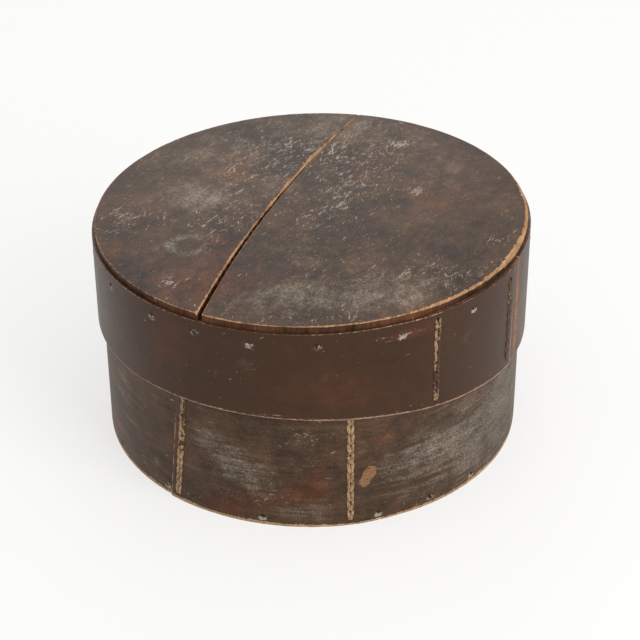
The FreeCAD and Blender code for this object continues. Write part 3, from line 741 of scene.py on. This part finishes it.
def lid_wear(angle, share):
    foot_wear = 0.95 + 0.2 * numpy.cos(angle * 2 + 2) + 0.15 * numpy.cos(angle * 9)
    rim_wear = 0.12 + 0.15 * numpy.cos(angle * 5)
    return foot_wear * (1 - smooth(share, 0.5, 0.6)) + rim_wear * smooth(share, 0.5, 0.6)


lid_margin = math.degrees(SEAM_MARGIN / lid_face)
lid_end = LID_RIGHT_SEAM + lid_margin
lid_lap = lid_end - (LID_LEFT_SEAM - lid_margin)
lid_flat = math.degrees(STITCH_EDGE / lid_face)
lid_band, lid_angle, lid_height = bent_strip(
    "lid_band_wood", lid_face, LID_STRIP, -1, lid_end, lid_lap, lid_flat, LID_COLUMNS, LID_ROWS,
    lid_foot, lid_rim, lambda share: 0 * share, lid_wear, LID_END_KEPT,
)
LID_GREY = [
    (-160, 120, 14, 40, 0.5), (-107, 128, 3, 8, 0.6), (-136, 100, 8, 10, 0.3),
    (-12, 118, 13, 70, 0.85), (6, 112, 18, 70, 0.55), (-48, 128, 3, 6, 0.5), (90, 120, 40, 20, 0.5),
]
LID_RED = [
    (-67, 146.5, 8, 4, 1.1), (-25, 115, 2.6, 60, 2.0), (-128, 118, 8, 30, 0.5),
    (-88, 110, 14, 16, 0.35), (-62, 96, 10, 10, 0.5), (30, 110, 14, 30, 0.5),
    (160, 110, 20, 20, 0.5), (-114.3, 116.8, 0.7, 3, 1.6),
]
LID_BARE = [
    (-72.5, 147, 1.8, 0.9, 0.75), (-63, 147, 2.4, 0.9, 0.8), (-61.5, 144.3, 1.6, 0.6, 0.7),
    (-71, 144, 2.0, 0.6, 0.7), (-24.3, 118, 1.5, 60, 0.8), (-114.3, 116.8, 0.5, 1.8, 0.95),
    (-105, 91.3, 6, 0.4, 0.9), (-98, 92.4, 5, 0.35, 0.8),
]
LID_SCUFF = [
    (-133.5, 143, 1.2, 1.4, 1.6), (-128, 151, 1.0, 1.0, 1.6), (-125, 148, 1.6, 1.4, 1.4),
    (-119.3, 145, 1, 1.4, 1.3), (-111.2, 149, 1, 1, 1.5), (-38.8, 139, 0.7, 1, 2),
    (-104, 128, 3, 5, 0.8), (-68, 147, 8, 3, 1.0), (-46, 127, 2, 4, 0.8), (-27, 110, 2.5, 30, 0.6),
    (100, 120, 30, 30, 0.4), (-64, 91, 3, 3, 0.9),
] + peg_scuffs(LID_PEG_ANGLES, lambda angle: lid_rim(angle) - LID_PEG_DROP)
write_attributes(
    lid_band, grey=rubbed(lid_angle, lid_height, LID_GREY),
    red=rubbed(lid_angle, lid_height, LID_RED),
    bare=rubbed(lid_angle, lid_height, LID_BARE),
    scuff=0.05 + rubbed(lid_angle, lid_height, LID_SCUFF),
)
lid_seam_rims = {
    seam: (float(lid_foot(math.radians(seam))), float(lid_rim(math.radians(seam))))
    for seam in (LID_LEFT_SEAM, LID_RIGHT_SEAM)
}
lid_peg_places = [
    (angle, LAP_STEP if lid_end - lid_lap < angle < lid_end else 0.0,
     lid_rim(math.radians(angle)) - LID_PEG_DROP) for angle in LID_PEG_ANGLES
]
cut_holes(
    lid_band, [(seam, low, high, 0.0) for seam, (low, high) in lid_seam_rims.items()],
    lid_peg_places, lid_face + LAP_STEP / 2,
)
lid_band.data.materials.append(painted_finish(
    "lid_band_paint", strip_place, brown=(0.06, 0.027, 0.0115, 1), wood=(0.48, 0.3, 0.2, 1),
    comb=math.radians(-20), mottle=0.35, streaks=0.15, gloss=0.1, shine=0.2,
))
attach(lid_band, "lid")
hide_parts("lid_band")

# The lid's two boards: dowelled edge to edge and pegged in the lid band, with their top standing
# proud of it. The joint has opened towards the front; the rim and the joint's edge are chipped.
board_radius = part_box("lid_wide_board")[1][0]
board_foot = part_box("lid_wide_board")[0][2]
LID_TOP = 159.2 * mm
LID_JOINT = (75.8, -118.6)
LID_JOINT_GAPS = (0.7 * mm, 3.5 * mm)
LID_JOINT_BOW = 9.5 * mm
SLIGHT_WEAR, NARROW_BOARD_WEAR, DEEPEST_CHIP = 0.3, 0.6, 2.2
BOARD_GRID = (120, 140)
BOARD_LAYERS = (0.0, 0.4, 0.74, 0.86, 0.936, 0.973, 1.0)
RIM_WEAR = (
    (-22, 18, 2.7), (6, 10, 1.3), (-52, 16, 1.1), (-85, 20, 0.45), (-112, 6, 0.5), (-128, 8, 0.3),
    (120, 30, 0.4),
)
JOINT_CHIPS = (
    (0.082, 0.02, 1.8), (0.04, 0.012, 1.0), (0.012, 0.01, 0.7), (-0.13, 0.012, 0.8),
    (-0.05, 0.03, 0.4),
)
# Grey haze on the lid top, each an x, a y, two half widths in metres and a strength; the broad band
# along the back is painted sheen
TOP_HAZE_AND_BACK_SHEEN = (
    (-0.077, 0.018, 0.024, 0.022, 1.0), (-0.032, -0.109, 0.035, 0.016, 0.55),
    (0.01, -0.12, 0.05, 0.018, 0.65), (0.05, -0.1, 0.05, 0.022, 0.5),
    (-0.106, -0.049, 0.015, 0.012, 0.4), (-0.03, 0.1, 0.09, 0.045, 0.35),
    (-0.02, 0.035, 0.02, 0.02, 0.5), (0.075, -0.04, 0.05, 0.03, 0.3),
    (-0.005, -0.06, 0.02, 0.03, 0.5), (0.1, 0.06, 0.04, 0.05, 0.3), (-0.1, 0.075, 0.04, 0.03, 0.3),
    # painted sheen: a broad pale band along the back of the top
    (0.0, 0.13, 0.13, 0.04, 0.5),
)
SMUDGE = (-0.082, -0.044, 0.0115, 0.0035, 1.15)
TOP_RED = (
    (-0.062, -0.042, 0.02, 0.022, 0.9), (-0.078, -0.097, 0.03, 0.025, 0.9),
    (-0.05, -0.085, 0.02, 0.03, 0.6), (-0.13, -0.055, 0.015, 0.025, 0.6),
    (-0.05, 0.06, 0.02, 0.02, 0.5), (0.035, 0.075, 0.02, 0.02, 0.7), (0.02, -0.05, 0.03, 0.02, 0.4),
    (-0.03, -0.02, 0.02, 0.04, 0.4), (0.09, 0.01, 0.03, 0.03, 0.4),
)
TOP_SCUFF = (
    (0.0, -0.02, 0.012, 0.02, 0.7), (0.018, 0.012, 0.014, 0.022, 0.85),
    (0.03, 0.045, 0.02, 0.02, 0.7), (0.02, 0.09, 0.02, 0.025, 0.7), (0.05, 0.085, 0.02, 0.02, 0.6),
    (0.05, 0.04, 0.03, 0.04, 0.4), (-0.05, 0.05, 0.05, 0.06, 0.7),
    (-0.129, -0.004, 0.014, 0.02, 1.1), (-0.02, 0.09, 0.03, 0.03, 0.6),
    (-0.106, -0.002, 0.012, 0.012, 0.7), (-0.092, -0.09, 0.008, 0.008, 1.4),
    (0.074, 0.022, 0.006, 0.008, 1.5), (0.066, 0.094, 0.008, 0.005, 1.6),
    (0.066, -0.084, 0.006, 0.005, 1.4), (0.124, -0.049, 0.008, 0.006, 1.0),
    (0.05, -0.1, 0.06, 0.03, 0.35), (-0.06, -0.02, 0.03, 0.03, 0.5),
    (-0.01, -0.135, 0.05, 0.01, 0.5), (0.09, -0.09, 0.03, 0.02, 0.5),
    (0.05, 0.128, 0.02, 0.008, 0.8),
)
board_line = on_rim(board_radius, numpy.array(LID_JOINT))
board_turn = math.atan2(*(board_line[0] - board_line[1])[::-1])


def board_place(tree):
    """A place on the boards, turned so that the grain lies along the joint."""
    place = add_node(tree, "TexCoord").outputs["Object"]
    turn = (0, 0, -board_turn)
    return add_node(tree, "Mapping", Vector=place, Rotation=turn, Scale=(1, 1, 0.3)).outputs[0]


def patches(flat, places):
    total = numpy.zeros(len(flat))
    for x, y, wide, deep, strength in places:
        far = ((flat[:, 0] - x) / wide) ** 2 + ((flat[:, 1] - y) / deep) ** 2
        total += strength * numpy.exp(-far)
    return total


def chipped_off(at, places):
    """Adds up the soft spots along an edge, each a place, a width and a depth of wear in mm."""
    return sum(worn * numpy.exp(-(at(middle) / wide) ** 2) for middle, wide, worn in places)


board_finish = painted_finish(
    "lid_board_paint", board_place, brown=(0.067, 0.038, 0.022, 1), wood=(0.5, 0.28, 0.145, 1),
    comb=math.radians(12), mottle=1.7, streaks=0.05, gloss=0.1, shine=0.1,
)
for side, node in ((1, "lid_wide_board"), (-1, "lid_narrow_board")):
    board, flat, layer, to_rim, to_joint = sawn_board(
        f"{node}_wood", board_radius, LID_JOINT, LID_JOINT_GAPS, LID_JOINT_BOW, side, *BOARD_GRID,
        BOARD_LAYERS,
    )
    level = numpy.c_[flat, flat[:, 0] * 0]
    chip = uneven(level, 160, 6) * 0.5 + uneven(level, 420, 7) * 0.45 + uneven(level, 900, 8) * 0.25
    around = numpy.degrees(numpy.arctan2(flat[:, 1], flat[:, 0]))
    rim_wear = SLIGHT_WEAR + chipped_off(lambda middle: turned(around, middle), RIM_WEAR)
    rim_wear = rim_wear * (1 + 0.75 * chip)
    joint_wear = numpy.full(len(flat), SLIGHT_WEAR if side > 0 else NARROW_BOARD_WEAR)
    if side < 0:
        joint_wear += chipped_off(lambda middle: flat[:, 1] - middle, JOINT_CHIPS)
    joint_wear = joint_wear * (1 + 0.8 * chip)
    drop = numpy.clip(rim_wear - to_rim, 0, None) * 0.5
    drop = drop + numpy.clip(joint_wear - to_joint, 0, None) * 0.6
    ripple = uneven(level, 11, 9) * 0.25 + uneven(level, 60, 10) * 0.04
    ripple = ripple * smooth(numpy.minimum(to_rim, to_joint), 0, 15)
    surface = LID_TOP + LID_RIM_RISE * flat[:, 0] + (ripple - numpy.minimum(drop, DEEPEST_CHIP)) * mm
    move_corners(board, numpy.c_[flat, board_foot + layer * (surface - board_foot)])

    depth = (1 - layer) * (surface - board_foot) / mm
    on_wall = depth > 0.5
    bared = numpy.maximum(rim_wear - to_rim, joint_wear - to_joint) - depth * 3
    sawn = 0.05 - depth * 0.1 if side < 0 else joint_wear - 3 * depth
    bared = numpy.where((depth > 0) & (to_joint < to_rim), sawn, bared)
    hidden = (layer == 0) | (to_joint < to_rim) & (depth > 6)
    ring_x, ring_y, ring_radius, ring_width, ring_strength = SMUDGE
    smudge = numpy.hypot(flat[:, 0] - ring_x, flat[:, 1] - ring_y) - ring_radius
    smudge = ring_strength * numpy.exp(-(smudge / ring_width) ** 2)
    # grey holds the haze and, along the back of the top, a painted sheen
    write_attributes(
        board, bared=bared, inside=numpy.where(hidden, 1.0, 0.0),
        grey=patches(flat, TOP_HAZE_AND_BACK_SHEEN) + smudge - 3 * on_wall,
        red=patches(flat, TOP_RED) + 0.5 * on_wall,
        scuff=(0.4 + patches(flat, TOP_SCUFF)) * (depth == 0), bare=0 * layer,
    )
    board.data.materials.append(board_finish)
    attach(board, "lid")
    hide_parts(node)

# The pegs: whittled sticks with small rough heads, driven through each band into the boards.
PEG_RADIUS = 1.6 * mm
PEG_DEPTH = 8.0 * mm
PEG_DARK, PEG_CHIPPED = (0.028, 0.015, 0.008, 1), (0.62, 0.48, 0.33, 1)

bpy.ops.object.select_all(action="DESELECT")
bpy.ops.mesh.primitive_cylinder_add(vertices=9, radius=PEG_RADIUS, depth=PEG_DEPTH)
pattern_peg = bpy.context.object
bpy.ops.object.mode_set(mode="EDIT")
bpy.ops.mesh.select_all(action="DESELECT")
bpy.ops.object.mode_set(mode="OBJECT")
for face in pattern_peg.data.polygons:
    face.select = face.normal.z > 0.9
bpy.ops.object.mode_set(mode="EDIT")
bpy.ops.mesh.inset(thickness=0.35 * mm, depth=0.25 * mm)
bpy.ops.mesh.inset(thickness=0.5 * mm, depth=0.05 * mm)
bpy.ops.mesh.poke()
bpy.ops.object.mode_set(mode="OBJECT")
peg_corners = corners_of(pattern_peg)
peg_corners[:, 2] -= peg_corners[:, 2].max()

peg_finish, tree, shader = new_finish("peg_wood")
place = add_node(tree, "TexCoord").outputs["Object"]
speck = grainy(tree, place, 900.0, 4.0, 0.7)
chipped = fade(tree, swing(tree, read_attribute(tree, "chipped"), (speck, 2.0)), 0.35, 0.6)
tree.links.new(blend(tree, chipped, PEG_DARK, PEG_CHIPPED), shader.inputs["Base Color"])
shader.inputs["Roughness"].default_value = 0.6
shader.inputs["Specular IOR Level"].default_value = 0.25
bump = add_node(tree, "Bump", Height=speck, Distance=0.5 * mm, Strength=0.8).outputs[0]
tree.links.new(bump, shader.inputs["Normal"])

draw = random.Random(11)


def drive_pegs(name, face, pegs):
    """Drives a row of pegs, each given by its angle, its step out of the face and its height."""
    places = []
    chips = []
    for angle, step, height in pegs:
        spin = draw.uniform(0, 6.28)
        thick = draw.uniform(0.85, 1.05)
        shaped = peg_corners * (thick, thick * draw.uniform(0.85, 1.0), 1)
        shaped = shaped @ numpy.array(Matrix.Rotation(spin, 3, "Z"))
        shaped[:, 2] += draw.uniform(-0.35, 0.4) * mm - 0.15 * shaped[:, 1]
        places.append(on_band(shaped, angle, face + step, height))
        chips.append(numpy.clip(-shaped[:, 1] / PEG_RADIUS, 0, 1))
    row = joined_copies(name, pattern_peg, places)
    write_attributes(row, chipped=numpy.concatenate(chips))
    row.data.materials.append(peg_finish)
    return row


lid_pegs = drive_pegs("lid_peg_row", lid_face, lid_peg_places)
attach(lid_pegs, "lid")
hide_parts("lid_pegs")
base_pegs = drive_pegs("base_peg_row", base_face, base_peg_places)
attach(base_pegs, "box")
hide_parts("base_bottom_pegs")
bpy.data.objects.remove(pattern_peg)

# The lacing: split root drawn through a row of slits. Outside, each stitch is two plump strands
# that lean in to the slit below, like an ear of corn; inside, one flat strand joins two slits.
STRAND_WIDTH = 2.4 * mm
STRAND_SPREAD = 1.5 * mm
STRAND_PINCH = 0.7 * mm
STRAND_RISE = 0.8 * mm
FULL_RISE = 1.35 * mm
PLUMP_BELOW = 72 * mm
STRAND_REACH = 5.0 * mm
STRAND_SIDES = 12
STRAND_RINGS = 14
FIBRES = 1500.0
ROOT_DARK, ROOT_PALE = (0.22, 0.11, 0.048, 1), (0.64, 0.43, 0.25, 1)
ROOT_DIRT, ROOT_PAINTED = (0.1, 0.045, 0.02, 1), (0.06, 0.026, 0.013, 1)

bpy.ops.object.select_all(action="DESELECT")
bpy.ops.mesh.primitive_cylinder_add(vertices=STRAND_SIDES, radius=1, depth=2, end_fill_type="NGON")
pattern_strand = bpy.context.object
bpy.ops.object.mode_set(mode="EDIT")
for ring in range(1, STRAND_RINGS):
    bpy.ops.mesh.select_all(action="SELECT")
    bpy.ops.mesh.bisect(plane_co=(0, 0, 2 * ring / STRAND_RINGS - 1), plane_no=(0, 0, 1))
bpy.ops.object.mode_set(mode="OBJECT")
strand_corners = corners_of(pattern_strand)


def shaped_strand(side, climb, inside, rise, fat):
    """Draws the pattern strand out between two slits, seen flat: across, up and out."""
    down = -strand_corners[:, 2]
    drawn = numpy.sqrt(numpy.clip(1 - down ** 2 * 0.95, 0.02, 1))
    width = STRAND_WIDTH / 2 * fat * (0.3 + 0.7 * drawn)
    leaning = STRAND_SPREAD + (STRAND_PINCH - STRAND_SPREAD) * smooth(down, -1, 1)
    spread = 0.0 if inside else side * leaning
    twist = draw.uniform(-0.12, 0.12) * mm
    across = spread + strand_corners[:, 0] * width + twist * down
    up = climb - down * STRAND_REACH + draw.uniform(-0.15, 0.15) * mm
    crown = rise * numpy.clip(1.3 * drawn - 0.32, -0.6, 1)
    out = crown * (0.5 + 0.5 * strand_corners[:, 1]) - 0.3 * mm * (strand_corners[:, 1] < 0)
    out = out - 0.18 * rise * numpy.abs(strand_corners[:, 0]) ** 3
    return numpy.stack([across, up, -out if inside else out], axis=1), down


def lace(name, seam, face, depth, low, high, lean, paint_at, full_below):
    """Laces one seam. Its strands stand full below a height, and lie flat above it."""
    middle = (low + high) / 2
    places, paints, runs = [], [], []
    heights = stitch_heights(low, high)
    for climb in [(one + other) / 2 for one, other in zip(heights, heights[1:])]:
        full = FULL_RISE if middle + climb < full_below else STRAND_RISE
        for side, inside in ((-1, False), (1, False), (0, True)):
            rise = STRAND_RISE if inside else full * draw.uniform(0.85, 1.0)
            shaped, down = shaped_strand(side, climb, inside, rise, draw.uniform(0.88, 1.08))
            places.append(on_band(shaped, seam, face - (depth if inside else 0), middle, lean))
            strand_paint = paint_at(middle + climb, side) + draw.uniform(-0.2, 0.2)
            paints.append(numpy.full(len(down), strand_paint))
            runs.append(down + draw.randrange(100) * 4)
    lacing = joined_copies(name, pattern_strand, places)
    lacing.data.shade_smooth()
    write_attributes(lacing, paint=numpy.concatenate(paints), run=numpy.concatenate(runs))
    return lacing


root_finish, tree, shader = new_finish("split_root")
place = add_node(tree, "TexCoord").outputs["Object"]
run = read_attribute(tree, "run")
wide = add_node(tree, "SeparateXYZ", Vector=scaled(tree, place, FIBRES)).outputs
fibre_place = add_node(tree, "CombineXYZ", X=wide[0], Y=wide[1], Z=run).outputs[0]
fibre = add_node(tree, "TexNoise", Vector=fibre_place, Scale=1.2, Detail=4.0, Roughness=0.6).outputs[0]
dirt = grainy(tree, place, 420.0, 4.0, 0.65)
root_colour = blend(tree, fade(tree, fibre, 0.36, 0.62), ROOT_DARK, ROOT_PALE)
root_colour = blend(tree, fade(tree, dirt, 0.52, 0.7), root_colour, ROOT_DIRT)
# Painted shade: each strand darkens towards its ends, where it dives into a slit
painted_shade_near_hole = fade(tree, sums(tree, "ABSOLUTE", sums(tree, "WRAP", run, 2.0, -2.0)), 0.6, 1.0)
root_colour = scaled(tree, root_colour, sums(tree, "MULTIPLY_ADD", painted_shade_near_hole, -0.72, 1.0))
painted = swing(tree, read_attribute(tree, "paint"), (dirt, 1.8), (fibre, 0.6))
root_colour = blend(tree, fade(tree, painted, 0.42, 0.6), root_colour, ROOT_PAINTED)
tree.links.new(root_colour, shader.inputs["Base Color"])
shader.inputs["Roughness"].default_value = 0.5
shader.inputs["Specular IOR Level"].default_value = 0.3
relief = sums(tree, "ADD", fibre, dirt)
bump = add_node(tree, "Bump", Height=relief, Distance=0.35 * mm, Strength=0.8).outputs[0]
tree.links.new(bump, shader.inputs["Normal"])


def left_lid_paint(height, side):
    golden = height < 100 * mm or (side > 0 and height > 122 * mm)
    return 0.36 if golden else 0.72


def left_base_paint(height, side):
    return 0.05 + 0.5 * (height > 44 * mm) - 0.2 * (side > 0)


def right_base_paint(height, side):
    return 0.05 + 0.25 * (height > 48 * mm)


def right_lid_paint(height, side):
    return 1.0 if side < 0 else 0.75


SEAMS = (
    ("base_outer_seam_root", "box", BASE_LEFT_SEAM, base_face, BASE_STRIP,
     0.0, base_rim, BASE_LEFT_LEAN, left_base_paint, PLUMP_BELOW),
    ("base_inner_seam_root", "box", BASE_RIGHT_SEAM, base_face, BASE_STRIP,
     0.0, base_rim, 0.0, right_base_paint, PLUMP_BELOW),
    ("lid_outer_seam_root", "lid", LID_RIGHT_SEAM, lid_face, LID_STRIP,
     *lid_seam_rims[LID_RIGHT_SEAM], 0.0, right_lid_paint, 0.0),
    ("lid_inner_seam_root", "lid", LID_LEFT_SEAM, lid_face, LID_STRIP,
     *lid_seam_rims[LID_LEFT_SEAM], 0.0, left_lid_paint, 0.0),
)
for node, body, seam, face, strip, low, high, lean, paint_at, full_below in SEAMS:
    lacing = lace(
        f"{node}_strands", seam, face + LAP_STEP, strip + LAP_STEP, low, high, lean, paint_at,
        full_below,
    )
    lacing.data.materials.append(root_finish)
    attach(lacing, body)
    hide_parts(node)
bpy.data.objects.remove(pattern_strand)
